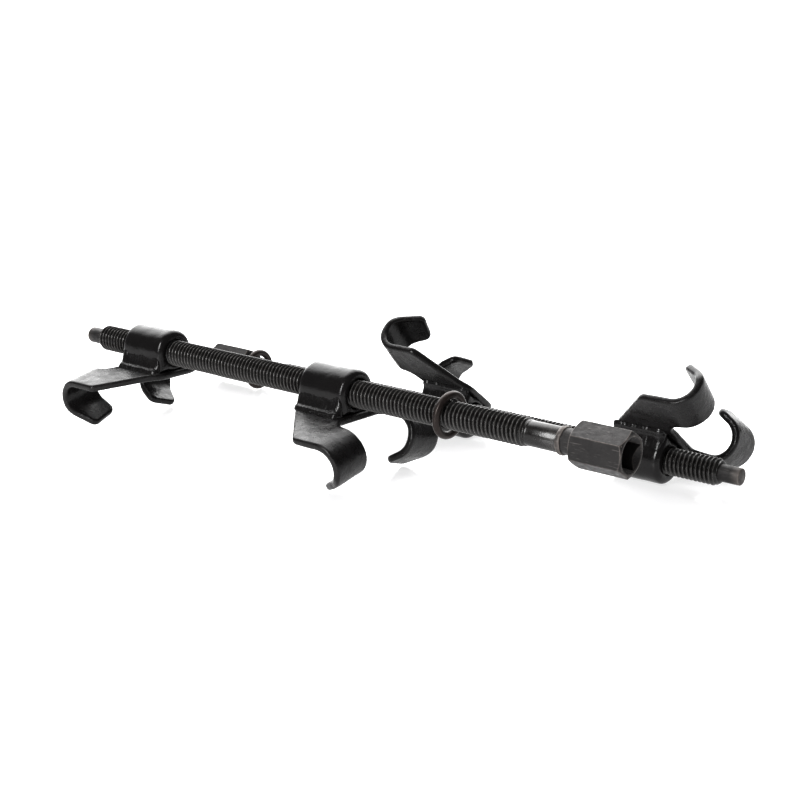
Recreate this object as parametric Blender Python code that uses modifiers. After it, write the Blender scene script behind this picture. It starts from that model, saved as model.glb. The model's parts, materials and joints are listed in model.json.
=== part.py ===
"""A pair of screw-type coil spring compressors lying on a flat surface.

Each unit is a threaded spindle with a hexagonal drive head, a loose thrust ring, a threaded claw that
travels on the screw and a plain claw that slides on it.  The front unit stands on its four hooks.  The
rear unit is turned end for end and lies on its round barrels with its hooks up, rolled over until its
far tongues touch the surface too.

Unit frame: +X along the spindle from its point to its head, X = 0 at the first thread, axis on X.
Claw frame: +X away from the other claw, Y across the jaw, +Z from the jaw plate to the barrel,
X = 0 at the barrel's inner end face, spindle axis on X.
"""
import bpy
import bmesh
from math import asin, cos, hypot, pi, radians, sin, sqrt
from mathutils import Matrix, Vector

MM = 0.001
GAP = 0.3 * MM                      # clearance between touching pieces

# Spindle (unit frame)
THREAD_RADIUS = 7.6 * MM
THREAD_LENGTH = 314.0 * MM
DOG_RADIUS = 4.7 * MM
DOG_LENGTH = 12.0 * MM
SHANK_RADIUS = 6.55 * MM
SHANK_END = 334.3 * MM
SPIGOT_RADIUS = 4.6 * MM
SPIGOT_LENGTH = 6.5 * MM
RUN_OUT = 1.6 * MM                  # length of the chamfers at the ends of the thread

# Hexagonal drive head
HEX_START = 342.5 * MM
HEX_END = 372.1 * MM
HEX_FLATS = 21.0 * MM
HEX_RIM = 10.2 * MM                 # radius of the flat ring left by the chamfer at each end
NECK_RADIUS = 6.7 * MM
SOCKET_SIDE = 12.9 * MM
SOCKET_DEPTH = 17.0 * MM
SOCKET_TURN = radians(41.0)         # square socket against the hexagon
SOCKET_MOUTH_RADIUS = 9.3 * MM
WELD_RING_RADIUS = 7.5 * MM
WELD_RING_WIDTH = 3.2 * MM

# Loose thrust ring
RING_RADIUS = 12.9 * MM             # outer
RING_WIRE_RADIUS = 2.1 * MM
RING_DROP = 0.2 * MM                # the ring hangs this far below the spindle's axis

# Claw barrel
BARREL_RADIUS = 13.2 * MM
BARREL_LENGTH = 33.0 * MM
BARREL_EDGE = 2.0 * MM
THREADED_BORE_RADIUS = 7.9 * MM
PLAIN_BORE_RADIUS = 8.6 * MM

# Jaw plate
PLATE_THICKNESS = 4.2 * MM
PLATE_TOP = -10.3 * MM              # barrel side of the plate's base, below the spindle's axis
PLATE_EDGE = 0.7 * MM
BEND_Y = 17.1 * MM                  # where each tongue bends down from the base
TONGUE_SLOPE = radians(11.6)
BASE_DEPTH = 34.5 * MM
CORNER_X = 25.8 * MM                # where the slanted inner edge meets the tongue's side edge
TONGUE_SIDE = 28.7 * MM             # tongue edges, measured from the bend line down the slope
TONGUE_NOTCH = 6.0 * MM
TIP_SIDE = 21.5 * MM
TIP_NOTCH = 3.0 * MM
TIP_SKEW = 3.0 * MM                 # the hook's end is this much shorter at the notch
CLIP_START = 0.60                   # share of the hook's length before its outer corner is clipped
CURL_START = 41.5 * MM
CURL_RADIUS = 14.0 * MM             # outer face of the hook
CURL_TURN = radians(149.0)
TIP_LENGTH = 11.8 * MM

# Weld runs between barrel and plate
BEAD_SIZE = 3.4 * MM
BEAD_LENGTH = 30.0 * MM

# Layout
SPAN = 393.5 * MM                   # from point to point of the two units
AXES_APART = 98.6 * MM
FRONT_THREADED_AT = 61.7 * MM       # barrels' inner faces along each unit's spindle
FRONT_PLAIN_AT = 170.0 * MM
REAR_THREADED_AT = 63.5 * MM
REAR_PLAIN_AT = 161.5 * MM
FRONT_PLATE_SHIFT = -1.2 * MM       # threaded claws' plates, welded a little off along the barrel
REAR_PLATE_SHIFT = 1.4 * MM
FRONT_RING_AT = 264.3 * MM
REAR_RING_AT = 335.4 * MM
FRONT_RING_TURN = radians(-3.0)     # the loose rings hang askew: a turn about Z over a lean along X
REAR_RING_TURN = radians(2.0)
RING_LEAN = radians(3.0)
FRONT_HEAD_TURN = radians(26.7)
REAR_HEAD_TURN = radians(22.0)

ROUND_STEPS = 28
SHARP_ANGLE = radians(35.0)         # edges sharper than this keep a crease in the shading


def clear_scene():
    for item in list(bpy.data.objects):
        bpy.data.objects.remove(item, do_unlink=True)


def new_collection(name):
    collection = bpy.data.collections.new(name)
    bpy.context.scene.collection.children.link(collection)
    return collection


def principled(name, colour, roughness, metallic):
    material = bpy.data.materials.new(name)
    material.use_nodes = True
    shader = material.node_tree.nodes["Principled BSDF"]
    shader.inputs["Base Color"].default_value = (*colour, 1.0)
    shader.inputs["Roughness"].default_value = roughness
    shader.inputs["Metallic"].default_value = metallic
    return material


def mesh_object(name, bm, collection):
    mesh = bpy.data.meshes.new(name)
    bm.to_mesh(mesh)
    bm.free()
    item = bpy.data.objects.new(name, mesh)
    collection.objects.link(item)
    return item


def turned(name, profile, collection, steps=ROUND_STEPS):
    """Turn (radius, height) points, listed from the top down, about Z."""
    bm = bmesh.new()
    points = [bm.verts.new((radius, 0.0, height)) for radius, height in profile]
    for first, second in zip(points, points[1:]):
        bm.edges.new((first, second))
    if profile[0][0] > 0.0 and profile[-1][0] > 0.0:
        bm.edges.new((points[-1], points[0]))
    item = mesh_object(name, bm, collection)
    screw = item.modifiers.new("turn", "SCREW")
    screw.axis = "Z"
    screw.steps = steps
    screw.render_steps = steps
    screw.use_merge_vertices = True
    screw.merge_threshold = 0.00001
    return item


def prism(name, outline, length, collection):
    """Extrude a (y, z) outline along +X by the given length."""
    curve = bpy.data.curves.new(name, "CURVE")
    curve.dimensions = "2D"
    curve.fill_mode = "BOTH"
    curve.extrude = length / 2
    spline = curve.splines.new("POLY")
    spline.points.add(len(outline) - 1)
    for point, (across, up) in zip(spline.points, outline):
        point.co = (across, up, 0.0, 1.0)
    spline.use_cyclic_u = True
    source = bpy.data.objects.new(name + "_outline", curve)
    collection.objects.link(source)
    evaluated = source.evaluated_get(bpy.context.evaluated_depsgraph_get())
    mesh = bpy.data.meshes.new_from_object(evaluated)
    bm = bmesh.new()
    bm.from_mesh(mesh)
    bmesh.ops.remove_doubles(bm, verts=bm.verts, dist=0.00001)
    for vertex in bm.verts:
        across, up, along = vertex.co
        vertex.co = (along + length / 2, across, up)
    bmesh.ops.recalc_face_normals(bm, faces=bm.faces)
    bpy.data.objects.remove(source, do_unlink=True)
    bpy.data.curves.remove(curve)
    bpy.data.meshes.remove(mesh)
    return mesh_object(name, bm, collection)


def boolean(item, cutter, operation="DIFFERENCE"):
    modifier = item.modifiers.new(operation.lower(), "BOOLEAN")
    modifier.operation = operation
    modifier.solver = "EXACT"
    modifier.object = cutter
    cutter.hide_render = True
    cutter.display_type = "WIRE"


def bevel(item, width, segments=1, angle=40.0):
    modifier = item.modifiers.new("edges", "BEVEL")
    modifier.width = width
    modifier.segments = segments
    modifier.limit_method = "ANGLE"
    modifier.angle_limit = radians(angle)


def finish(item, colour, roughness, metallic, parent):
    """Apply the piece's modifiers, shade its round faces smooth and give it its material."""
    item.parent = parent
    evaluated = item.evaluated_get(bpy.context.evaluated_depsgraph_get())
    shaped = bpy.data.meshes.new_from_object(evaluated)
    shaped.shade_smooth()
    shaped.set_sharp_from_angle(angle=SHARP_ANGLE)
    shaped.materials.clear()
    shaped.materials.append(principled(item.name, colour, roughness, metallic))
    draft = item.data
    item.modifiers.clear()
    item.data = shaped
    bpy.data.meshes.remove(draft)
    shaped.name = item.name


def along_x(location=0.0, turn=0.0):
    """Matrix that lays a turned piece's Z axis along +X, spun about that axis."""
    spin = Matrix.Rotation(turn, 4, "X")
    return Matrix.Translation((location, 0.0, 0.0)) @ spin @ Matrix.Rotation(pi / 2, 4, "Y")


def make_spindle(name, parent, parts):
    crest = THREAD_RADIUS
    root = SHANK_RADIUS
    profile = [
        (0.0, SHANK_END + SPIGOT_LENGTH),
        (SPIGOT_RADIUS, SHANK_END + SPIGOT_LENGTH),
        (SPIGOT_RADIUS, SHANK_END),
        (SHANK_RADIUS, SHANK_END),
        (SHANK_RADIUS, THREAD_LENGTH + RUN_OUT),
        (crest, THREAD_LENGTH),
        (crest, RUN_OUT),
        (root, 0.0),
        (DOG_RADIUS, 0.0),
        (DOG_RADIUS, -DOG_LENGTH + 0.8 * MM),
        (DOG_RADIUS - 0.8 * MM, -DOG_LENGTH),
        (0.0, -DOG_LENGTH),
    ]
    spindle = turned(name, profile, parts)
    spindle.matrix_local = along_x()
    finish(spindle, (0.045, 0.042, 0.040), 0.38, 0.85, parent)


def make_hex_drive(name, turn, parent, parts, cutters):
    length = HEX_END - HEX_START
    neck_length = HEX_START - SHANK_END - GAP
    corner = HEX_FLATS / 2 / cos(pi / 6)
    overlap = 2.0 * MM
    bm = bmesh.new()
    bmesh.ops.create_cone(bm, cap_ends=True, segments=6, radius1=corner, radius2=corner, depth=length)
    bmesh.ops.translate(bm, verts=bm.verts, vec=(0.0, 0.0, length / 2))
    head = mesh_object(name, bm, parts)

    wide = corner + overlap
    fall = (wide - HEX_RIM) / sqrt(3.0)
    inside = HEX_RIM - overlap * sqrt(3.0)
    chamfer = [
        (0.0, length + overlap),
        (inside, length + overlap),
        (HEX_RIM, length),
        (wide, length - fall),
        (wide, fall),
        (HEX_RIM, 0.0),
        (inside, -overlap),
        (0.0, -overlap),
    ]
    envelope = turned(name + "_envelope", chamfer, cutters, 36)
    boolean(head, envelope, "INTERSECT")

    neck_profile = [
        (0.0, overlap),
        (NECK_RADIUS, overlap),
        (NECK_RADIUS, -neck_length),
        (0.0, -neck_length),
    ]
    neck = turned(name + "_neck", neck_profile, cutters)
    boolean(head, neck, "UNION")

    bore_profile = [
        (0.0, 0.0),
        (SPIGOT_RADIUS + GAP, 0.0),
        (SPIGOT_RADIUS + GAP, -neck_length - overlap),
        (0.0, -neck_length - overlap),
    ]
    bore = turned(name + "_bore", bore_profile, cutters, 20)
    boolean(head, bore)

    bm = bmesh.new()
    bmesh.ops.create_cube(bm, size=1.0)
    bmesh.ops.scale(bm, verts=bm.verts, vec=(SOCKET_SIDE, SOCKET_SIDE, SOCKET_DEPTH + overlap))
    bmesh.ops.translate(bm, verts=bm.verts, vec=(0.0, 0.0, length - (SOCKET_DEPTH - overlap) / 2))
    bmesh.ops.rotate(bm, verts=bm.verts, matrix=Matrix.Rotation(SOCKET_TURN, 3, "Z"))
    socket = mesh_object(name + "_socket", bm, cutters)
    boolean(head, socket)

    mouth_profile = [
        (0.0, length + overlap),
        (SOCKET_MOUTH_RADIUS + overlap, length + overlap),
        (SOCKET_SIDE / 2, length - (SOCKET_MOUTH_RADIUS - SOCKET_SIDE / 2)),
        (0.0, length - (SOCKET_MOUTH_RADIUS - SOCKET_SIDE / 2)),
    ]
    mouth = turned(name + "_mouth", mouth_profile, cutters, 24)
    boolean(head, mouth)

    for piece in (head, envelope, neck, bore, socket, mouth):
        piece.parent = parent
        piece.matrix_local = along_x(HEX_START, turn)
    finish(head, (0.075, 0.075, 0.078), 0.48, 0.75, parent)


def make_head_weld(name, parent, parts):
    inner = NECK_RADIUS + GAP
    half = WELD_RING_WIDTH / 2
    profile = [
        (WELD_RING_RADIUS - 0.25 * MM, half),
        (WELD_RING_RADIUS, half * 0.5),
        (WELD_RING_RADIUS, -half * 0.5),
        (WELD_RING_RADIUS - 0.25 * MM, -half),
        (inner, -half),
        (inner, half),
    ]
    ring = turned(name, profile, parts)
    ring.matrix_local = along_x(SHANK_END)
    finish(ring, (0.06, 0.058, 0.056), 0.5, 0.7, parent)


def make_thrust_ring(name, turn, parent, parts):
    bpy.ops.mesh.primitive_torus_add(
        major_radius=RING_RADIUS - RING_WIRE_RADIUS,
        minor_radius=RING_WIRE_RADIUS,
        major_segments=ROUND_STEPS,
        minor_segments=10,
    )
    ring = bpy.context.object
    ring.name = name
    ring.data.name = name
    for collection in ring.users_collection:
        collection.objects.unlink(ring)
    parts.objects.link(ring)
    lean = Matrix.Rotation(turn, 4, "Z") @ Matrix.Rotation(RING_LEAN, 4, "Y")
    ring.matrix_local = Matrix.Translation((0.0, 0.0, -RING_DROP)) @ lean @ along_x()
    finish(ring, (0.075, 0.062, 0.058), 0.42, 0.8, parent)


def make_barrel(name, bore_radius, parent, parts, cutters):
    steps = 20
    outline = []
    for step in range(steps + 1):
        angle = pi * step / steps
        outline.append((BARREL_RADIUS * cos(angle), BARREL_RADIUS * sin(angle)))
    outline.append((-BARREL_RADIUS, PLATE_TOP + GAP))
    outline.append((BARREL_RADIUS, PLATE_TOP + GAP))
    barrel = prism(name, outline, BARREL_LENGTH, parts)
    bevel(barrel, BARREL_EDGE, 2)
    overlap = 2.0 * MM
    bore_profile = [
        (0.0, BARREL_LENGTH + overlap),
        (bore_radius, BARREL_LENGTH + overlap),
        (bore_radius, -overlap),
        (0.0, -overlap),
    ]
    bore = turned(name + "_bore", bore_profile, cutters)
    bore.matrix_local = along_x()
    bore.parent = parent
    boolean(barrel, bore)
    finish(barrel, (0.012, 0.012, 0.013), 0.22, 0.1, parent)


def inner_edge(across):
    """X of the plate's inner edge: straight under the barrel, slanted along the tongues."""
    corner_y = BEND_Y + TONGUE_SIDE * cos(TONGUE_SLOPE)
    if across <= BEND_Y:
        return 0.0
    return CORNER_X * (across - BEND_Y) / (corner_y - BEND_Y)


def hook_profile(distance):
    """(x, drop) of the tongue's barrel side at a distance past the start of its curl."""
    arc = CURL_RADIUS * CURL_TURN
    turn = min(distance, arc) / CURL_RADIUS
    straight = max(distance - arc, 0.0)
    x = CURL_START + CURL_RADIUS * sin(turn) + straight * cos(CURL_TURN)
    drop = CURL_RADIUS * (1.0 - cos(turn)) + straight * sin(CURL_TURN)
    return x, drop


def tongue_point(x, slope_distance, drop):
    """Claw-frame point of a tongue from its own sloping axes."""
    y = BEND_Y + slope_distance * cos(TONGUE_SLOPE) - drop * sin(TONGUE_SLOPE)
    z = PLATE_TOP - slope_distance * sin(TONGUE_SLOPE) - drop * cos(TONGUE_SLOPE)
    return x, y, z


def make_jaw_plate(name, shift, parent, parts):
    base_rows = 2
    tongue_rows = 1
    curl_rows = 9
    tip_rows = 1
    rows = base_rows + tongue_rows + curl_rows + tip_rows
    bend_column = 1
    notch_column = 2
    columns = 5
    reach = CURL_RADIUS * CURL_TURN + TIP_LENGTH

    def place(row, column):
        share = (column - notch_column) / (columns - notch_column)
        if column <= bend_column:
            slope_distance = 0.0
            across = BEND_Y * column / bend_column
        else:
            slope_distance = TONGUE_NOTCH + share * (TONGUE_SIDE - TONGUE_NOTCH)
            across = BEND_Y + slope_distance * cos(TONGUE_SLOPE)
        if row <= base_rows:
            start = inner_edge(across)
            x = start + (BASE_DEPTH - start) * row / base_rows
            if column <= bend_column:
                return x, across, PLATE_TOP
            return tongue_point(x, slope_distance, 0.0)
        if row <= base_rows + tongue_rows:
            x = BASE_DEPTH + (CURL_START - BASE_DEPTH) * (row - base_rows) / tongue_rows
            return tongue_point(x, slope_distance, 0.0)
        past = row - base_rows - tongue_rows
        if past <= curl_rows:
            distance = CURL_RADIUS * CURL_TURN * past / curl_rows
        else:
            tip_length = TIP_LENGTH - TIP_SKEW * (1.0 - share)
            distance = CURL_RADIUS * CURL_TURN + tip_length * (past - curl_rows) / tip_rows
        taper = distance / reach
        clip = max(0.0, (taper - CLIP_START) / (1.0 - CLIP_START))
        notch_edge = TONGUE_NOTCH + taper * (TIP_NOTCH - TONGUE_NOTCH)
        side_edge = TONGUE_SIDE + clip * (TIP_SIDE - TONGUE_SIDE)
        x, drop = hook_profile(distance)
        return tongue_point(x, notch_edge + share * (side_edge - notch_edge), drop)

    bm = bmesh.new()
    bmesh.ops.create_grid(bm, x_segments=rows, y_segments=columns, size=0.5)
    lattice = {}
    for vertex in bm.verts:
        row = round((vertex.co.x + 0.5) * rows)
        column = round((vertex.co.y + 0.5) * columns)
        lattice[vertex] = (row, column)
    hidden = []
    for face in bm.faces:
        places = [lattice[vertex] for vertex in face.verts]
        lowest_row = min(row for row, column in places)
        lowest_column = min(column for row, column in places)
        if lowest_row >= base_rows and lowest_column < notch_column:
            hidden.append(face)
    bmesh.ops.delete(bm, geom=hidden, context="FACES")
    for vertex in bm.verts:
        vertex.co = place(*lattice[vertex])

    plate = mesh_object(name, bm, parts)
    mirror = plate.modifiers.new("halves", "MIRROR")
    mirror.use_axis = (False, True, False)
    mirror.merge_threshold = 0.00005
    solid = plate.modifiers.new("thickness", "SOLIDIFY")
    solid.thickness = PLATE_THICKNESS
    solid.offset = -1.0
    solid.use_even_offset = True
    bevel(plate, PLATE_EDGE)
    plate.location.x = shift
    finish(plate, (0.012, 0.012, 0.013), 0.2, 0.1, parent)


def make_bead(name, side, parent, parts):
    corner_y = BARREL_RADIUS + GAP
    corner_z = PLATE_TOP + GAP
    reach = BEND_Y + 1.2 * MM - corner_y
    outline = [(corner_y, corner_z), (corner_y + reach, corner_z)]
    steps = 4
    for step in range(1, steps):
        angle = pi / 2 * step / steps
        outline.append((corner_y + reach * cos(angle), corner_z + BEAD_SIZE * sin(angle)))
    outline.append((corner_y, corner_z + BEAD_SIZE))
    if side < 0:
        outline = [(-across, up) for across, up in reversed(outline)]
    bead = prism(name, outline, BEAD_LENGTH, parts)
    bead.matrix_local = Matrix.Translation(((BARREL_LENGTH - BEAD_LENGTH) / 2, 0.0, 0.0))
    finish(bead, (0.016, 0.016, 0.017), 0.3, 0.1, parent)


def make_empty(name, matrix, parent, parts):
    empty = bpy.data.objects.new(name, None)
    parts.objects.link(empty)
    empty.parent = parent
    empty.matrix_local = matrix
    return empty


def make_claw(name, bore_radius, plate_shift, matrix, unit, parts, cutters):
    frame = make_empty(name + "_frame", matrix, unit, parts)
    make_barrel(name + "_barrel", bore_radius, frame, parts, cutters)
    make_jaw_plate(name + "_jaw_plate", plate_shift, frame, parts)
    make_bead(name + "_weld_left", 1, frame, parts)
    make_bead(name + "_weld_right", -1, frame, parts)


def make_unit(name, matrix, roll, head_turn, threaded_at, plain_at, plate_shift, ring_at, ring_turn,
              parts, cutters):
    unit = make_empty(name + "_unit", matrix, None, parts)
    rolled = Matrix.Rotation(roll, 4, "X")
    turned_round = Matrix.Rotation(pi, 4, "Z")
    threaded = Matrix.Translation((threaded_at, 0.0, 0.0)) @ rolled @ turned_round
    plain = Matrix.Translation((plain_at, 0.0, 0.0)) @ rolled
    make_spindle(name + "_spindle", unit, parts)
    make_hex_drive(name + "_hex_drive", head_turn, unit, parts, cutters)
    make_head_weld(name + "_head_weld", unit, parts)
    ring_frame = make_empty(name + "_ring_frame", Matrix.Translation((ring_at, 0.0, 0.0)), unit, parts)
    make_thrust_ring(name + "_thrust_ring", ring_turn, ring_frame, parts)
    make_claw(name + "_threaded_claw", THREADED_BORE_RADIUS, plate_shift, threaded, unit, parts, cutters)
    make_claw(name + "_plain_claw", PLAIN_BORE_RADIUS, 0.0, plain, unit, parts, cutters)
    return unit


def roll_onto_tongues():
    """Roll past upside down at which a unit on its barrels also touches the surface with its tongues."""
    across = BEND_Y + TONGUE_SIDE * cos(TONGUE_SLOPE)
    below = TONGUE_SIDE * sin(TONGUE_SLOPE) - PLATE_TOP
    reach = hypot(across, below)
    return asin(below / reach) + asin(BARREL_RADIUS / reach)


def corners(items):
    """Lowest and highest corner of the box round the mesh objects among the items."""
    bpy.context.view_layer.update()
    points = []
    for item in items:
        if item.type == "MESH":
            points.extend(item.matrix_world @ vertex.co for vertex in item.data.vertices)
    low = Vector([min(point[axis] for point in points) for axis in range(3)])
    high = Vector([max(point[axis] for point in points) for axis in range(3)])
    return low, high


def stand_on_surface(units, parts):
    """Set each unit down on Z = 0 and centre the pair on the origin."""
    for unit in units:
        pieces = [item for item in unit.children_recursive if item.name in parts.objects]
        low, high = corners(pieces)
        unit.location.z -= low.z
    low, high = corners(parts.objects)
    for unit in units:
        unit.location.x -= (low.x + high.x) / 2
        unit.location.y -= (low.y + high.y) / 2


def main():
    clear_scene()
    parts = new_collection("coil_spring_compressor")
    cutters = new_collection("cutters")
    front = Matrix.Translation((-SPAN / 2 + DOG_LENGTH, -AXES_APART / 2, 0.0))
    rear = Matrix.Translation((SPAN / 2 - DOG_LENGTH, AXES_APART / 2, 0.0)) @ Matrix.Rotation(pi, 4, "Z")
    front_unit = make_unit("front", front, 0.0, FRONT_HEAD_TURN, FRONT_THREADED_AT, FRONT_PLAIN_AT,
                           FRONT_PLATE_SHIFT, FRONT_RING_AT, FRONT_RING_TURN, parts, cutters)
    rear_unit = make_unit("rear", rear, pi + roll_onto_tongues(), REAR_HEAD_TURN, REAR_THREADED_AT,
                          REAR_PLAIN_AT, REAR_PLATE_SHIFT, REAR_RING_AT, REAR_RING_TURN, parts, cutters)
    stand_on_surface((front_unit, rear_unit), parts)


main()
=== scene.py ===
"""Looks for a pair of coil spring compressors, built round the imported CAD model.

Every CAD node is replaced by a finer piece on the same body: rolled threads on the spindles, worn
hexagonal heads, bent and welded claws under black enamel, and the loose rings.

Unit frame: +X along the spindle from its point to its head, X = 0 at the first thread, axis on X.
Claw frame: +X away from the other claw, Y across the jaw, +Z from the jaw plate to the barrel,
X = 0 at the barrel's inner end face, spindle axis on X.
"""
import json
from math import cos, pi, radians, sin, tan

import bmesh
import bpy
import numpy as np
from mathutils import Matrix, Vector, noise


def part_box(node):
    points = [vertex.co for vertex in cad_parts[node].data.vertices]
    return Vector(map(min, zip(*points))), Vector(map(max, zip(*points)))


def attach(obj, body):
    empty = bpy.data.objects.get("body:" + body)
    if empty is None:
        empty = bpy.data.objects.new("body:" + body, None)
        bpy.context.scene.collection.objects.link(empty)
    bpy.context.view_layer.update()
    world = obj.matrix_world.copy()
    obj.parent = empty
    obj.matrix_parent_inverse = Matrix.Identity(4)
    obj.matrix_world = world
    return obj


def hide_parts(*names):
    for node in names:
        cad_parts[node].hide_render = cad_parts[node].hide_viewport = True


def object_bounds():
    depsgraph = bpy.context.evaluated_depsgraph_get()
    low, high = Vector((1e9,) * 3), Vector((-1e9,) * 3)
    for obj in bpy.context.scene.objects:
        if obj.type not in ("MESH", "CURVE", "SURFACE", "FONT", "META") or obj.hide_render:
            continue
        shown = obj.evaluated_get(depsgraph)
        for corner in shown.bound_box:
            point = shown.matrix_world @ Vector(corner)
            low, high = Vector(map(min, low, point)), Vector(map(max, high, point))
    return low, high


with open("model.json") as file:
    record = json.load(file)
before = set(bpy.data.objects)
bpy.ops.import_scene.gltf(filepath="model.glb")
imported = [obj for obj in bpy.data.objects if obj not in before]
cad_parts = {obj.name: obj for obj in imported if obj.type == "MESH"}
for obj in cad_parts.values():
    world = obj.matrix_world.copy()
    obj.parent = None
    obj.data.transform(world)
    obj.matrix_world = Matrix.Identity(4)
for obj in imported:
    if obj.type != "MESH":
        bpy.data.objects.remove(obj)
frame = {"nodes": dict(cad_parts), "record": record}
CAD_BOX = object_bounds()

MM = 0.001

# Spindle (unit frame)
PITCH = 2.54 * MM
THREAD_RADIUS = 7.6 * MM
THREAD_DEPTH = 1.55 * MM
THREAD_LENGTH = 314.0 * MM
CREST_SHARE = 0.07                  # of half a pitch, flat at the crest
FLANK_SHARE = 0.80                  # of half a pitch, from crest to root
FLANK_EASE = 0.45                   # 0 for straight flanks, 1 for flanks eased into crest and root
LEAD_CHAMFER = 2.2 * MM
RUN_OUT = 1.6 * MM
DOG_RADIUS = 4.7 * MM
DOG_LENGTH = 12.0 * MM
DOG_EDGE = 0.8 * MM
# Stations before the first thread, and how far the point widens there
DOG_FLARE = ((-1.0 * MM, 0.0), (-0.35 * MM, 0.12 * MM), (-0.1 * MM, 0.85 * MM))
SHANK_RADIUS = 6.55 * MM
SHANK_END = 334.3 * MM
SHANK_CHAMFER = (0.4 * MM, 0.3 * MM)    # along, in
SPIGOT_RADIUS = 4.6 * MM
SPIGOT_LENGTH = 6.5 * MM
NECK_RADIUS = 6.7 * MM
HEAD_WELD_SINK = 0.3 * MM           # how far the joint's ring reaches inside the neck

# Loose thrust ring
RING_RADIUS = 12.9 * MM
RING_WIRE_RADIUS = 2.1 * MM
RING_TURNS = {"front": radians(-3.0), "rear": radians(2.0)}
RING_LEAN = radians(3.0)
WIRE_PLAY = 0.03 * MM               # how far the wire and the rim stay inside the CAD ring
RIM_PLAY = 0.02 * MM

# Claw (claw frame)
BARREL_RADIUS = 13.2 * MM
BARREL_EDGE = 3.4 * MM
BORE_RADII = {"threaded_claw": 7.9 * MM, "plain_claw": 8.6 * MM}
BORE_EDGE = 0.7 * MM
END_FACE = 0.2 * MM                 # least flat between a barrel's rounded rim and its bore's edge
LEAST_EDGE = 0.3 * MM
PLATE_THICKNESS = 4.2 * MM
PLATE_TOP = -10.3 * MM
PLATE_EDGE = 1.5 * MM
BEND_Y = 17.1 * MM
BEND_RADIUS = 30.0 * MM
TONGUE_SLOPE = radians(11.6)
BASE_INSET = 3.0 * MM               # the base's inner edge is this much narrower than the bend lines
BASE_DEPTH = 34.5 * MM
NOTCH_FLARE = 0.5 * MM
CORNER_X = 25.8 * MM
TONGUE_SIDE = 28.7 * MM
TONGUE_NOTCH = 6.0 * MM
TIP_SIDE = 21.5 * MM
TIP_NOTCH = 3.0 * MM
TIP_SKEW = 3.0 * MM
CLIP_START = 0.60
CURL_START = 41.5 * MM
CURL_RADIUS = 14.0 * MM
CURL_TURN = radians(149.0)
TIP_LENGTH = 11.8 * MM
BEAD_HEIGHT = 8.8 * MM
BEAD_REACH = 4.0 * MM
BEAD_HOLLOW = 0.72                  # 1 for a straight-faced fillet, less for a hollow one
BEAD_ROOT = 1.6 * MM                # how far the bead sinks into barrel and plate
BEAD_TOE = 1.1 * MM
TOE_ANGLE = radians(22.0)
TOE_SPREAD = radians(24.0)
BEAD_BACK = (radians(-12.0), radians(97.0))     # beyond these the bead is hidden in plate and barrel
BEAD_LENGTH = 32.2 * MM
BEAD_END_POWER = 14                 # the higher, the blunter the bead's ends
BEAD_END_RADIUS = 0.02 * MM
BEAD_FULLNESS = 0.96
# Swellings along a bead, as shares of its section, and their lengths
BEAD_RIPPLE, RIPPLE_SWELL = 2.3 * MM, 0.025
BEAD_DRIFT, DRIFT_SWELL = 6 * MM, 0.14
BEAD_BLOB, BLOB_SWELL = 2.6 * MM, 0.20
BEAD_SPOT, SPOT_SWELL = 2 * MM, 0.05

ARC_STEP = radians(9.0)
PLATE_VOXEL = 0.5 * MM
HEX_VOXEL = 0.3 * MM

# Unevenness of each surface: grain size and height of each layer
HEX_DENTS = ((5 * MM, 0.07 * MM), (1.4 * MM, 0.03 * MM))
RING_DENTS = ((4 * MM, 0.05 * MM),)
BARREL_DENTS = ((7 * MM, 0.12 * MM), (2.2 * MM, 0.05 * MM))
PLATE_DENTS = ((9 * MM, 0.16 * MM), (2.6 * MM, 0.06 * MM))

# Camera, measured from the front unit's first thread
CAMERA_OFFSET = Vector((734.7, -629.1, 218.5)) * MM
CAMERA_YAW = radians(38.66)
CAMERA_PITCH = radians(15.05)
CAMERA_ROLL = radians(-0.89)
CAMERA_LENS = 71.45

# Studio: the sky is a soft diffuser centred behind the tools, seen from the camera
DIFFUSER_HEIGHT = radians(38.0)
DIFFUSER_EDGE = radians(54.0)
DIFFUSER_CORE = radians(16.0)
DIFFUSER_STRENGTH = 5.0
ROOM_STRENGTH = 0.22
FLOOR_HALF_SIZE = 40.0
FLOOR_DROP = 0.1 * MM
FLOOR_COLOUR = (0.42, 0.42, 0.425)
FLOOR_GLOW = 0.72
FLOOR_ROUGHNESS = 0.18
LIGHT_PLACE = Vector((0.05, -1.25, 0.7))
LIGHT_TARGET = Vector((0.0, 0.0, 0.03))
LIGHT_SIZE = (0.3, 0.9)
LIGHT_POWER = 18.0
CONTRAST_GAMMA = 0.80


# ---------------------------------------------------------------- frames

def unit_frame(unit):
    """Matrix of a unit's frame, read from its spindle and head."""
    low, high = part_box(unit + "_spindle")
    middle = (low + high) / 2
    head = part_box(unit + "_hex_drive")[0]
    if head.x > middle.x:
        return Matrix.Translation((low.x + DOG_LENGTH, middle.y, middle.z))
    origin = Vector((high.x - DOG_LENGTH, middle.y, middle.z))
    return Matrix.Translation(origin) @ Matrix.Rotation(pi, 4, "Z")


def mount_axes(prefix):
    """Axes of the record's mounts whose names start with a prefix."""
    return [Vector(mount["axis"]) for mount in frame["record"]["mounts"] if mount["name"].startswith(prefix)]


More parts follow.
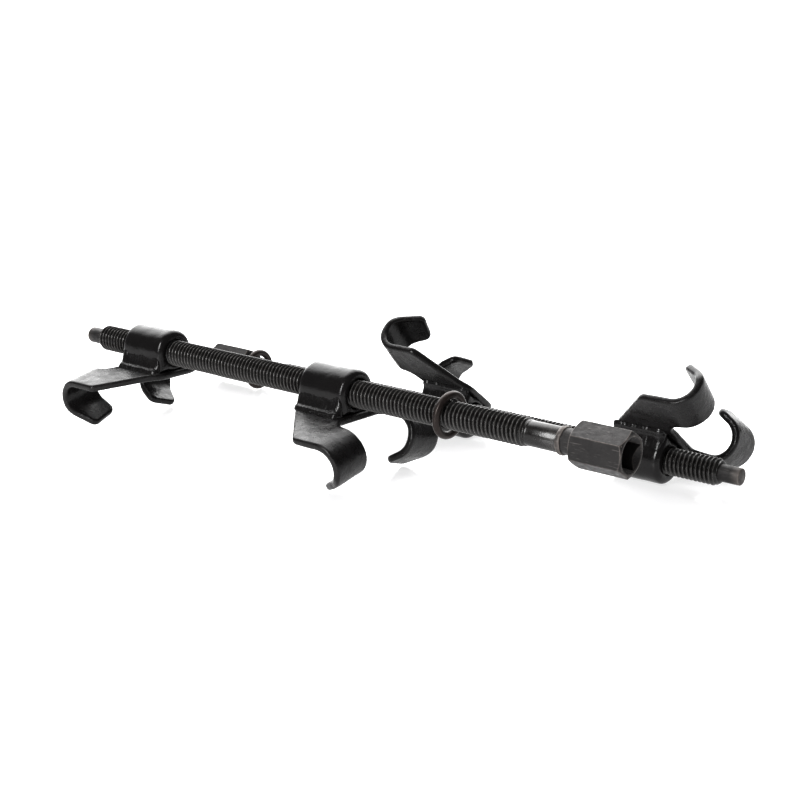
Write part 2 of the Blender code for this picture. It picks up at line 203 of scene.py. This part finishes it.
def claw_frame(unit, claw):
    """Matrix of a claw's frame, and how far its plate is shifted along X from the barrel's inner face."""
    node = f"{unit}_{claw}"
    barrel_low, barrel_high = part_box(node + "_barrel")
    plate_low, plate_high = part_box(node + "_jaw_plate")
    left, right = mount_axes(node)
    up = -(left + right).normalized()
    if plate_high.x - barrel_high.x > barrel_low.x - plate_low.x:
        outward = Vector((1.0, 0.0, 0.0))
        inner = barrel_low.x
        shift = plate_low.x - barrel_low.x
    else:
        outward = Vector((-1.0, 0.0, 0.0))
        inner = barrel_high.x
        shift = barrel_high.x - plate_high.x
    across = up.cross(outward)
    matrix = Matrix((outward, across, up)).transposed().to_4x4()
    axis = unit_frame(unit).translation
    matrix.translation = (inner, axis.y, axis.z)
    return matrix, shift


# ---------------------------------------------------------------- mesh tools

def mesh_object(name, bm):
    mesh = bpy.data.meshes.new(name)
    bm.to_mesh(mesh)
    bm.free()
    item = bpy.data.objects.new(name, mesh)
    bpy.context.scene.collection.objects.link(item)
    return item


def loft(name, rings, wrap=False):
    """Closed mesh through rings of points, shape (rings, points, 3): capped, or wrapped end to end."""
    count, size = rings.shape[:2]
    grid = np.arange(count * size).reshape(count, size)
    first = grid if wrap else grid[:-1]
    second = np.roll(grid, -1, axis=0) if wrap else grid[1:]
    quads = np.stack([first, np.roll(first, -1, axis=1), np.roll(second, -1, axis=1), second], axis=-1)
    faces = quads.reshape(-1, 4).tolist()
    if not wrap:
        faces.append(grid[0][::-1].tolist())
        faces.append(grid[-1].tolist())
    mesh = bpy.data.meshes.new(name)
    mesh.from_pydata(rings.reshape(-1, 3).tolist(), [], faces)
    bm = bmesh.new()
    bm.from_mesh(mesh)
    bpy.data.meshes.remove(mesh)
    bmesh.ops.recalc_face_normals(bm, faces=bm.faces)
    return mesh_object(name, bm)


def applied(item):
    """Replace a mesh or curve object by a mesh object with its modifiers applied."""
    evaluated = item.evaluated_get(bpy.context.evaluated_depsgraph_get())
    mesh = bpy.data.meshes.new_from_object(evaluated)
    name = item.name
    bpy.data.objects.remove(item, do_unlink=True)
    made = bpy.data.objects.new(name, mesh)
    mesh.name = name
    bpy.context.scene.collection.objects.link(made)
    return made


def welded(item):
    """Join the loose faces of a converted curve or of a faceted solid."""
    bm = bmesh.new()
    bm.from_mesh(item.data)
    bmesh.ops.remove_doubles(bm, verts=bm.verts, dist=0.001 * MM)
    bm.to_mesh(item.data)
    bm.free()
    return item


def remeshed(item, voxel, rounds):
    """Even out a closed mesh to voxel-sized faces and soften its edges."""
    remesh = item.modifiers.new("even", "REMESH")
    remesh.mode = "VOXEL"
    remesh.voxel_size = voxel
    soften = item.modifiers.new("soften", "SMOOTH")
    soften.factor = 0.5
    soften.iterations = rounds
    return applied(item)


def coordinates(item):
    points = np.empty(len(item.data.vertices) * 3)
    item.data.vertices.foreach_get("co", points)
    return points.reshape(-1, 3)


def set_coordinates(item, points):
    item.data.vertices.foreach_set("co", points.ravel())
    item.data.update()


def roughen(item, heights, seed):
    """Push points in and out by smooth noise: heights pairs each grain size with its height."""
    points = coordinates(item)
    normals = np.array([vertex.normal for vertex in item.data.vertices])
    offset = Vector((seed * 3.7, seed * 1.3, seed * 2.1))
    for size, height in heights:
        values = np.array([noise.noise(Vector(point) / size + offset) for point in points])
        points = points + normals * (values * height)[:, None]
    set_coordinates(item, points)


def shade(item, angle=35.0):
    item.data.shade_smooth()
    item.data.set_sharp_from_angle(angle=radians(angle))


def place(item, matrix, node, body, material):
    """Put a piece where its frame says, in place of a CAD node, on that node's body."""
    item.data.transform(matrix)
    set_coordinates(item, np.clip(coordinates(item), CAD_BOX[0], CAD_BOX[1]))
    item.data.materials.clear()
    item.data.materials.append(material)
    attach(item, body)
    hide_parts(node)


# ---------------------------------------------------------------- materials

class Nodes:
    """Short calls for building one material's node tree."""

    def __init__(self, name):
        self.material = bpy.data.materials.new(name)
        self.material.use_nodes = True
        self.tree = self.material.node_tree
        self.shader = self.tree.nodes["Principled BSDF"]
        self.position = self.new("ShaderNodeTexCoord").outputs["Object"]

    def new(self, kind, **values):
        node = self.tree.nodes.new(kind)
        for key, value in values.items():
            setattr(node, key, value)
        return node

    def link(self, source, target):
        self.tree.links.new(source, target)

    def grain(self, size, detail=3.0, stretch=(1.0, 1.0, 1.0), distortion=0.0):
        """Noise from 0 to 1 whose grains are about size across, stretched along the axes."""
        mapping = self.new("ShaderNodeMapping")
        mapping.inputs["Scale"].default_value = [1.0 / factor for factor in stretch]
        self.link(self.position, mapping.inputs["Vector"])
        texture = self.new("ShaderNodeTexNoise")
        texture.inputs["Scale"].default_value = 1.0 / size
        texture.inputs["Detail"].default_value = detail
        texture.inputs["Distortion"].default_value = distortion
        self.link(mapping.outputs["Vector"], texture.inputs["Vector"])
        return texture.outputs["Fac"]

    def span(self, source, low, high, start=0.3, end=0.7):
        """Map start..end of a value to low..high, clamped."""
        node = self.new("ShaderNodeMapRange")
        node.inputs["From Min"].default_value = start
        node.inputs["From Max"].default_value = end
        node.inputs["To Min"].default_value = low
        node.inputs["To Max"].default_value = high
        self.link(source, node.inputs["Value"])
        return node.outputs["Result"]

    def blend(self, factor, first, second):
        """Mix two colours, each a tuple or a socket."""
        node = self.new("ShaderNodeMix", data_type="RGBA")
        self.link(factor, node.inputs["Factor"])
        for value, socket in ((first, node.inputs["A"]), (second, node.inputs["B"])):
            if isinstance(value, tuple):
                socket.default_value = (*value, 1.0)
            else:
                self.link(value, socket)
        return node.outputs["Result"]

    def combine(self, operation, first, second):
        node = self.new("ShaderNodeMath", operation=operation)
        for value, socket in ((first, node.inputs[0]), (second, node.inputs[1])):
            if isinstance(value, float):
                socket.default_value = value
            else:
                self.link(value, socket)
        return node.outputs["Value"]

    def edges(self, low, high):
        """0 on flats, 1 on outer edges."""
        return self.span(self.new("ShaderNodeNewGeometry").outputs["Pointiness"], 0.0, 1.0, low, high)

    def bumps(self, *layers):
        """Bump from pairs of a height source and a height in metres."""
        normal = None
        for source, height in layers:
            node = self.new("ShaderNodeBump")
            node.inputs["Distance"].default_value = height
            self.link(source, node.inputs["Height"])
            if normal is not None:
                self.link(normal, node.inputs["Normal"])
            normal = node.outputs["Normal"]
        self.link(normal, self.shader.inputs["Normal"])

    def set(self, name, value):
        if isinstance(value, (int, float)):
            self.shader.inputs[name].default_value = value
        else:
            self.link(value, self.shader.inputs[name])


def enamel(name, size, height, smooth, rough):
    """Glossy black enamel, with a grain of the given size and height and a range of roughness."""
    nodes = Nodes(name)
    cloud = nodes.grain(14 * MM)
    grain = nodes.grain(size, detail=4.0)
    fine = nodes.grain(0.55 * MM, detail=2.0)
    nodes.set("Base Color", nodes.blend(cloud, (0.0060, 0.0054, 0.0055), (0.0125, 0.0112, 0.0115)))
    nodes.set("Roughness", nodes.span(nodes.grain(4 * MM), smooth, rough))
    nodes.set("Specular IOR Level", 0.42)
    nodes.bumps((grain, height), (fine, height * 0.3))
    return nodes.material


def black_oxide(name):
    """Oiled black oxide on the rolled thread and the shank, paler on the crests: partly rubbed wear, partly
    a painted highlight along each crest.
    """
    nodes = Nodes(name)
    cloud = nodes.grain(16 * MM)
    grain = nodes.grain(1.1 * MM, detail=4.0)
    base = nodes.blend(cloud, (0.0065, 0.0060, 0.0058), (0.014, 0.0125, 0.0118))
    # Crests and outer edges paler: partly rubbed wear, partly a painted highlight standing in for the
    # crests' glints.
    worn = nodes.combine("MULTIPLY", nodes.edges(0.525, 0.575), nodes.span(grain, 0.25, 1.0))
    nodes.set("Base Color", nodes.blend(worn, base, (0.16, 0.152, 0.147)))
    nodes.set("Specular IOR Level", 0.6)
    nodes.set("Roughness", nodes.span(nodes.grain(3 * MM), 0.18, 0.32))
    nodes.bumps((grain, 0.04 * MM))
    return nodes.material


def phosphate(name):
    """Matte dark grey phosphated steel, scuffed on its edges and scratched along X."""
    nodes = Nodes(name)
    cloud = nodes.grain(7 * MM, detail=5.0)
    grain = nodes.grain(0.7 * MM, detail=4.0)
    scratch = nodes.grain(0.8 * MM, detail=2.0, stretch=(9.0, 1.0, 1.0), distortion=0.6)
    base = nodes.blend(cloud, (0.026, 0.025, 0.0255), (0.058, 0.055, 0.054))
    lines = nodes.span(scratch, 0.0, 0.6, 0.62, 0.72)
    scuffed = nodes.blend(lines, base, (0.16, 0.15, 0.145))
    worn = nodes.combine("MULTIPLY", nodes.edges(0.505, 0.54), nodes.span(cloud, 0.3, 1.0))
    nodes.set("Base Color", nodes.blend(worn, scuffed, (0.24, 0.215, 0.20)))
    nodes.set("Metallic", 0.55)
    nodes.set("Roughness", nodes.span(nodes.grain(2.5 * MM), 0.40, 0.60))
    nodes.bumps((grain, 0.07 * MM), (scratch, 0.04 * MM))
    return nodes.material


def brown_steel(name):
    """Satin steel of the loose rings, brown-black from heat."""
    nodes = Nodes(name)
    cloud = nodes.grain(6 * MM)
    grain = nodes.grain(0.8 * MM, detail=4.0)
    nodes.set("Base Color", nodes.blend(cloud, (0.020, 0.015, 0.0135), (0.050, 0.038, 0.034)))
    nodes.set("Metallic", 0.5)
    nodes.set("Roughness", nodes.span(nodes.grain(3 * MM), 0.28, 0.44))
    nodes.bumps((grain, 0.05 * MM))
    return nodes.material


# ---------------------------------------------------------------- spindle, head and ring

def thread_radius(x, angle):
    """Radius of the screw at a station x, for an array of angles round it."""
    phase = (x / PITCH - angle / (2 * pi)) % 1.0
    flank = np.clip((np.abs(2 * phase - 1) - CREST_SHARE) / FLANK_SHARE, 0.0, 1.0)
    eased = flank * flank * (3 - 2 * flank)
    flank = (1 - FLANK_EASE) * flank + FLANK_EASE * eased
    threaded = THREAD_RADIUS - THREAD_DEPTH * flank
    root = THREAD_RADIUS - THREAD_DEPTH
    lead = root + THREAD_DEPTH * min(x / LEAD_CHAMFER, 1.0)
    threaded = np.minimum(threaded, lead)
    fade = min(max((THREAD_LENGTH + RUN_OUT - x) / (2 * PITCH), 0.0), 1.0)
    return SHANK_RADIUS + (threaded - SHANK_RADIUS) * fade


def turned(sections, angle):
    """Rings about the X axis, shape (sections, points, 3), from pairs of a station and a radius.

    Both are numbers or arrays with a value for each angle.
    """
    rings = []
    for x, radius in sections:
        rings.append(np.stack([x + 0 * angle, radius * np.cos(angle), radius * np.sin(angle)], axis=-1))
    return np.array(rings)


def make_spindle(unit, material, point_material):
    """The screw: a plain point with a rounded end, the rolled thread, the shank and its spigot."""
    around = 60
    per_pitch = 9
    angle = 2 * pi * np.arange(around) / around
    sections = []
    for step in reversed(range(5)):
        turn = pi / 2 * step / 4
        sections.append((-DOG_LENGTH + DOG_EDGE * (1 - sin(turn)), DOG_RADIUS - DOG_EDGE * (1 - cos(turn))))
    sections += [(x, DOG_RADIUS + rise) for x, rise in DOG_FLARE]
    threaded = THREAD_LENGTH + RUN_OUT
    count = round(threaded / PITCH * per_pitch)
    for step in range(count + 1):
        x = threaded * step / count
        sections.append((x, thread_radius(x, angle)))
    sections += [
        (SHANK_END - SHANK_CHAMFER[0], SHANK_RADIUS),
        (SHANK_END, SHANK_RADIUS - SHANK_CHAMFER[1]),
        (SHANK_END, SPIGOT_RADIUS),
        (SHANK_END + SPIGOT_LENGTH, SPIGOT_RADIUS),
    ]
    spindle = loft(f"fine_{unit}_spindle", turned(sections, angle))
    shade(spindle, 50.0)
    point = [polygon.index for polygon in spindle.data.polygons if polygon.center.x < -0.1 * MM]
    place(spindle, unit_frame(unit), unit + "_spindle", unit + "_spindle", material)
    spindle.data.materials.append(point_material)
    for index in point:
        spindle.data.polygons[index].material_index = 1


def make_hex_drive(unit, material, seed):
    """The head is evened out from the CAD solid, in a frame squared up to one of its flats."""
    node = unit + "_hex_drive"
    up = mount_axes(unit + "_drive_hexagon")[0]
    along = unit_frame(unit).col[0].to_3d()
    squared = Matrix((along, up.cross(along), up)).transposed().to_4x4()
    squared.translation = unit_frame(unit).translation
    head = bpy.data.objects.new("fine_" + node, frame["nodes"][node].data.copy())
    bpy.context.scene.collection.objects.link(head)
    head.data.transform(squared.inverted())
    head = remeshed(welded(head), HEX_VOXEL, 3)
    roughen(head, HEX_DENTS, seed)
    shade(head, 60.0)
    place(head, squared, node, unit + "_spindle", material)


def make_head_weld(unit, material, seed):
    """The raised joint round the spigot, uneven in height and width."""
    around = 72
    section = 14
    uneven_height = 0.25
    uneven_width = 0.15
    patches = 4
    angle = 2 * pi * np.arange(around) / around
    low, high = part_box(unit + "_head_weld")
    outer = (high.z - low.z) / 2
    inner = NECK_RADIUS - HEAD_WELD_SINK
    half = (high.x - low.x) / 2
    sections = []
    for step in range(section):
        turn = 2 * pi * step / section
        wobble = np.array([noise.noise(Vector((patches * cos(a), patches * sin(a), seed))) for a in angle])
        rise = (outer - inner) / 2 * sin(turn) * (1 - uneven_height * np.abs(wobble))
        x = half * cos(turn) * (1 - uneven_width + uneven_width * wobble)
        sections.append((SHANK_END + x, (outer + inner) / 2 + rise))
    weld = loft(f"fine_{unit}_head_weld", turned(sections, angle), wrap=True)
    shade(weld)
    place(weld, unit_frame(unit), unit + "_head_weld", unit + "_spindle", material)


def make_thrust_ring(unit, material, seed):
    """The loose ring, hanging a little askew."""
    around = 96
    section = 24
    low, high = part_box(unit + "_thrust_ring")
    tilt = Matrix.Rotation(RING_TURNS[unit], 4, "Z") @ Matrix.Rotation(RING_LEAN, 4, "Y")
    matrix = unit_frame(unit).to_3x3().to_4x4() @ tilt
    matrix.translation = (low + high) / 2
    turn = 2 * pi * np.arange(section) / section
    wire = RING_WIRE_RADIUS - WIRE_PLAY
    middle = RING_RADIUS - RING_WIRE_RADIUS - RIM_PLAY
    rings = []
    for step in range(around):
        angle = 2 * pi * step / around
        reach = middle + wire * np.cos(turn)
        rings.append(np.stack([wire * np.sin(turn), reach * cos(angle), reach * sin(angle)], axis=-1))
    ring = loft(f"fine_{unit}_thrust_ring", np.array(rings), wrap=True)
    roughen(ring, RING_DENTS, seed)
    shade(ring)
    place(ring, matrix, unit + "_thrust_ring", unit + "_thrust_ring", material)


# ---------------------------------------------------------------- claws

def make_barrel(unit, claw, matrix, material, seed):
    """A round boss with straight flanks down to the plate, rounded ends and a plain bore."""
    node = f"{unit}_{claw}_barrel"
    low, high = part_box(node)
    length = high.x - low.x
    around = 160
    straight = 12
    angle = 2 * pi * np.arange(around) / around
    tiny = 1e-6
    flank = BARREL_RADIUS / np.maximum(np.abs(np.cos(angle)), tiny)
    floor = -PLATE_TOP / np.maximum(np.abs(np.sin(angle)), tiny)
    outer = np.where(np.sin(angle) >= 0.0, BARREL_RADIUS, np.minimum(flank, floor))
    bore = np.full(around, BORE_RADII[claw])
    edge = np.clip(outer - bore - BORE_EDGE - END_FACE, LEAST_EDGE, BARREL_EDGE)
    turns = [pi / 2 * step / 6 for step in range(7)]
    sections = [(edge * (1 - sin(turn)), outer - edge * (1 - cos(turn))) for turn in reversed(turns)]
    sections += [(edge + (length - 2 * edge) * step / straight, outer) for step in range(1, straight)]
    sections += [(length - edge * (1 - sin(turn)), outer - edge * (1 - cos(turn))) for turn in turns]
    turns = turns[::2]
    for turn in turns:
        sections.append((length - BORE_EDGE * (1 - cos(turn)), bore + BORE_EDGE * (1 - sin(turn))))
    for turn in turns:
        sections.append((BORE_EDGE * (1 - sin(turn)), bore + BORE_EDGE * (1 - cos(turn))))
    barrel = loft("fine_" + node, turned(sections, angle), wrap=True)
    roughen(barrel, BARREL_DENTS, seed)
    shade(barrel, 50.0)
    place(barrel, matrix, node, f"{unit}_{claw}", material)


def rounded(corners):
    """Points of a closed outline whose corners (x, y, radius) are rounded by arcs."""
    points = []
    for index, (x, y, radius) in enumerate(corners):
        here = Vector((x, y))
        back = (Vector(corners[index - 1][:2]) - here).normalized()
        ahead = (Vector(corners[(index + 1) % len(corners)][:2]) - here).normalized()
        half = back.angle(ahead) / 2
        centre = here + (back + ahead).normalized() * (radius / sin(half))
        start = here + back * (radius / tan(half)) - centre
        sweep = start.angle_signed(here + ahead * (radius / tan(half)) - centre)
        steps = max(3, round(abs(sweep) / ARC_STEP))
        for step in range(steps + 1):
            turn = -sweep * step / steps
            points.append(centre + Matrix.Rotation(turn, 2) @ start)
    return points


def plate_outline():
    """Outline of the plate laid flat: x away from the other claw, y across."""
    side = BEND_Y + TONGUE_SIDE
    reach = CURL_RADIUS * CURL_TURN + TIP_LENGTH
    end = CURL_START + reach
    half = [
        (0.0, BEND_Y - BASE_INSET, 14.0 * MM),
        (CORNER_X, side, 5.0 * MM),
        (CURL_START + CLIP_START * reach, side, 16.0 * MM),
        (end, BEND_Y + TIP_SIDE, 4.0 * MM),
        (end - TIP_SKEW, BEND_Y + TIP_NOTCH, 5.0 * MM),
        (BASE_DEPTH, BEND_Y + TONGUE_NOTCH + NOTCH_FLARE, 9.0 * MM),
    ]
    return rounded(half + [(x, -y, radius) for x, y, radius in reversed(half)])


def bent(points):
    """Bend a flat plate: tongues sloped down from the base, and their ends curled into hooks."""
    along, across, height = points.T
    depth = PLATE_THICKNESS / 2 - height
    past = np.maximum(along - CURL_START, 0.0)
    turn = np.minimum(past / CURL_RADIUS, CURL_TURN)
    straight = np.maximum(past - CURL_RADIUS * CURL_TURN, 0.0)
    reach = CURL_RADIUS - depth
    x = np.minimum(along, CURL_START) + reach * np.sin(turn) + straight * cos(CURL_TURN)
    drop = CURL_RADIUS - reach * np.cos(turn) + straight * sin(CURL_TURN)
    arc = BEND_RADIUS * TONGUE_SLOPE
    out = np.abs(across) - (BEND_Y - arc / 2)
    slope = np.clip(out / BEND_RADIUS, 0.0, TONGUE_SLOPE)
    beyond = np.maximum(out - arc, 0.0)
    level = np.minimum(np.abs(across), BEND_Y - arc / 2)
    side = level + BEND_RADIUS * np.sin(slope) + beyond * cos(TONGUE_SLOPE) - drop * np.sin(slope)
    fall = BEND_RADIUS * (1 - np.cos(slope)) + beyond * sin(TONGUE_SLOPE) + drop * np.cos(slope)
    return np.stack([x, np.sign(across) * side, PLATE_TOP - fall], axis=-1)


def make_jaw_plate(unit, claw, matrix, shift, material, seed):
    """The plate is cut flat with rounded edges, evened out, then bent and curled."""
    node = f"{unit}_{claw}_jaw_plate"
    curve = bpy.data.curves.new("fine_" + node, "CURVE")
    curve.dimensions = "2D"
    curve.fill_mode = "BOTH"
    curve.extrude = PLATE_THICKNESS / 2 - PLATE_EDGE
    curve.bevel_depth = PLATE_EDGE
    curve.bevel_resolution = 4
    curve.offset = -PLATE_EDGE
    outline = plate_outline()
    spline = curve.splines.new("POLY")
    spline.points.add(len(outline) - 1)
    for point, (x, y) in zip(spline.points, outline):
        point.co = (x, y, 0.0, 1.0)
    spline.use_cyclic_u = True
    plate = bpy.data.objects.new("fine_" + node, curve)
    bpy.context.scene.collection.objects.link(plate)
    plate = remeshed(welded(applied(plate)), PLATE_VOXEL, 2)
    set_coordinates(plate, bent(coordinates(plate)) + np.array([shift, 0.0, 0.0]))
    roughen(plate, PLATE_DENTS, seed)
    shade(plate, 60.0)
    place(plate, matrix, node, f"{unit}_{claw}", material)


def bead_section(around):
    """Polar outline of a weld about the corner it fills: a tall hollow fillet with a rounded toe."""
    angle = 2 * pi * np.arange(around) / around - radians(30.0)
    across = np.clip(np.cos(angle), 0.0, 1.0) / BEAD_REACH
    up = np.clip(np.sin(angle), 0.0, 1.0) / BEAD_HEIGHT
    tiny = 1e-9
    fillet = (across ** BEAD_HOLLOW + up ** BEAD_HOLLOW + tiny) ** (-1 / BEAD_HOLLOW)
    toe = BEAD_TOE * np.exp(-((angle - TOE_ANGLE) / TOE_SPREAD) ** 2)
    inside = (angle > BEAD_BACK[1]) | (angle < BEAD_BACK[0])
    return angle, np.where(inside, BEAD_ROOT, fillet + toe)


def make_bead(unit, claw, side, word, matrix, material, seed):
    """A hand-laid weld run in the corner between barrel and plate, rippled, with a blob at one end."""
    node = f"{unit}_{claw}_weld_{word}"
    low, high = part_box(f"{unit}_{claw}_barrel")
    start = (high.x - low.x - BEAD_LENGTH) / 2
    stations = 84
    angle, reach = bead_section(60)
    rings = []
    for step in range(stations + 1):
        share = step / stations
        x = start + BEAD_LENGTH * share
        ends = (1 - abs(2 * share - 1) ** BEAD_END_POWER) ** 0.5
        wave = RIPPLE_SWELL * abs(sin(pi * x / BEAD_RIPPLE))
        drift = DRIFT_SWELL * noise.noise(Vector((x / BEAD_DRIFT, seed, 0.0)))
        lump = BLOB_SWELL * np.exp(-((x - start - BEAD_LENGTH + BEAD_BLOB) / BEAD_BLOB) ** 2)
        places = [Vector((x / BEAD_SPOT, 2 * cos(turn), 2 * sin(turn) + seed)) for turn in angle]
        spots = SPOT_SWELL * np.array([noise.noise(spot) for spot in places])
        radius = reach * ends * (BEAD_FULLNESS + wave + drift + lump + spots) + BEAD_END_RADIUS
        y = side * (BARREL_RADIUS + radius * np.cos(angle))
        z = PLATE_TOP + radius * np.sin(angle)
        rings.append(np.stack([np.full(len(angle), x), y, z], axis=-1))
    bead = loft("fine_" + node, np.array(rings))
    shade(bead, 70.0)
    place(bead, matrix, node, f"{unit}_{claw}", material)


# ---------------------------------------------------------------- stage

def make_floor():
    bm = bmesh.new()
    bmesh.ops.create_grid(bm, x_segments=1, y_segments=1, size=FLOOR_HALF_SIZE)
    floor = mesh_object("floor", bm)
    floor.location.z = CAD_BOX[0].z - FLOOR_DROP
    nodes = Nodes("floor_white")
    nodes.shader.inputs["Base Color"].default_value = (*FLOOR_COLOUR, 1.0)
    nodes.shader.inputs["Emission Color"].default_value = (1.0, 1.0, 1.0, 1.0)
    nodes.set("Emission Strength", FLOOR_GLOW)
    nodes.set("Roughness", FLOOR_ROUGHNESS)
    nodes.set("Specular IOR Level", 0.35)
    floor.data.materials.append(nodes.material)


def make_light():
    """One soft box low in front, for the highlights along crests and edges."""
    data = bpy.data.lights.new("front", "AREA")
    data.shape = "RECTANGLE"
    data.size, data.size_y = LIGHT_SIZE
    data.energy = LIGHT_POWER
    light = bpy.data.objects.new("front", data)
    light.location = LIGHT_PLACE
    light.rotation_euler = (LIGHT_TARGET - LIGHT_PLACE).to_track_quat("-Z", "Y").to_euler()
    bpy.context.scene.collection.objects.link(light)


def make_sky(behind):
    """Studio surroundings: a large bright diffuser above and behind the tools, dim elsewhere."""
    world = bpy.data.worlds.new("studio")
    bpy.context.scene.world = world
    world.use_nodes = True
    tree = world.node_tree
    direction = tree.nodes.new("ShaderNodeTexCoord").outputs["Generated"]
    dot = tree.nodes.new("ShaderNodeVectorMath")
    dot.operation = "DOT_PRODUCT"
    dot.inputs[1].default_value = behind * cos(DIFFUSER_HEIGHT) + Vector((0.0, 0.0, sin(DIFFUSER_HEIGHT)))
    ramp = tree.nodes.new("ShaderNodeMapRange")
    ramp.interpolation_type = "SMOOTHSTEP"
    ramp.inputs["From Min"].default_value = cos(DIFFUSER_EDGE)
    ramp.inputs["From Max"].default_value = cos(DIFFUSER_CORE)
    ramp.inputs["To Min"].default_value = ROOM_STRENGTH
    ramp.inputs["To Max"].default_value = DIFFUSER_STRENGTH
    tree.links.new(direction, dot.inputs[0])
    tree.links.new(dot.outputs["Value"], ramp.inputs["Value"])
    background = tree.nodes["Background"]
    background.inputs["Color"].default_value = (1.0, 1.0, 1.0, 1.0)
    tree.links.new(ramp.outputs["Result"], background.inputs["Strength"])


def make_camera():
    """The camera, aimed by its angles. Returns the level direction that it looks in."""
    forward = Vector((-sin(CAMERA_YAW), cos(CAMERA_YAW), 0.0))
    look = forward * cos(CAMERA_PITCH) + Vector((0.0, 0.0, -sin(CAMERA_PITCH)))
    camera = bpy.data.objects.new("camera", bpy.data.cameras.new("camera"))
    camera.data.lens = CAMERA_LENS
    camera.data.clip_end = 200.0
    right = Vector((cos(CAMERA_YAW), sin(CAMERA_YAW), 0.0))
    up = right.cross(look)
    level = Matrix((right, up, -look)).transposed()
    rolled = Matrix.Rotation(CAMERA_ROLL, 3, look) @ level
    position = unit_frame("front").translation + CAMERA_OFFSET
    camera.matrix_world = Matrix.Translation(position) @ rolled.to_4x4()
    bpy.context.scene.collection.objects.link(camera)
    bpy.context.scene.camera = camera
    return forward


def main():
    oxide = black_oxide("black_oxide")
    grey = phosphate("phosphate")
    brown = brown_steel("brown_steel")
    barrel_paint = enamel("enamel_on_barrel", 2.2 * MM, 0.10 * MM, 0.13, 0.26)
    plate_paint = enamel("enamel_on_plate", 1.5 * MM, 0.12 * MM, 0.20, 0.38)
    bead_paint = enamel("enamel_on_weld", 1.2 * MM, 0.10 * MM, 0.18, 0.32)
    seed = 1
    for unit in ("front", "rear"):
        make_spindle(unit, oxide, grey)
        make_hex_drive(unit, grey, seed)
        make_head_weld(unit, grey, seed)
        make_thrust_ring(unit, brown, seed)
        for claw in ("threaded_claw", "plain_claw"):
            matrix, shift = claw_frame(unit, claw)
            make_barrel(unit, claw, matrix, barrel_paint, seed)
            make_jaw_plate(unit, claw, matrix, shift, plate_paint, seed)
            make_bead(unit, claw, 1.0, "left", matrix, bead_paint, seed)
            make_bead(unit, claw, -1.0, "right", matrix, bead_paint, seed + 0.5)
            seed += 1
    make_floor()
    behind = make_camera()
    make_sky(behind)
    make_light()
    bpy.context.scene.view_settings.view_transform = "Standard"
    bpy.context.scene.view_settings.gamma = CONTRAST_GAMMA


main()
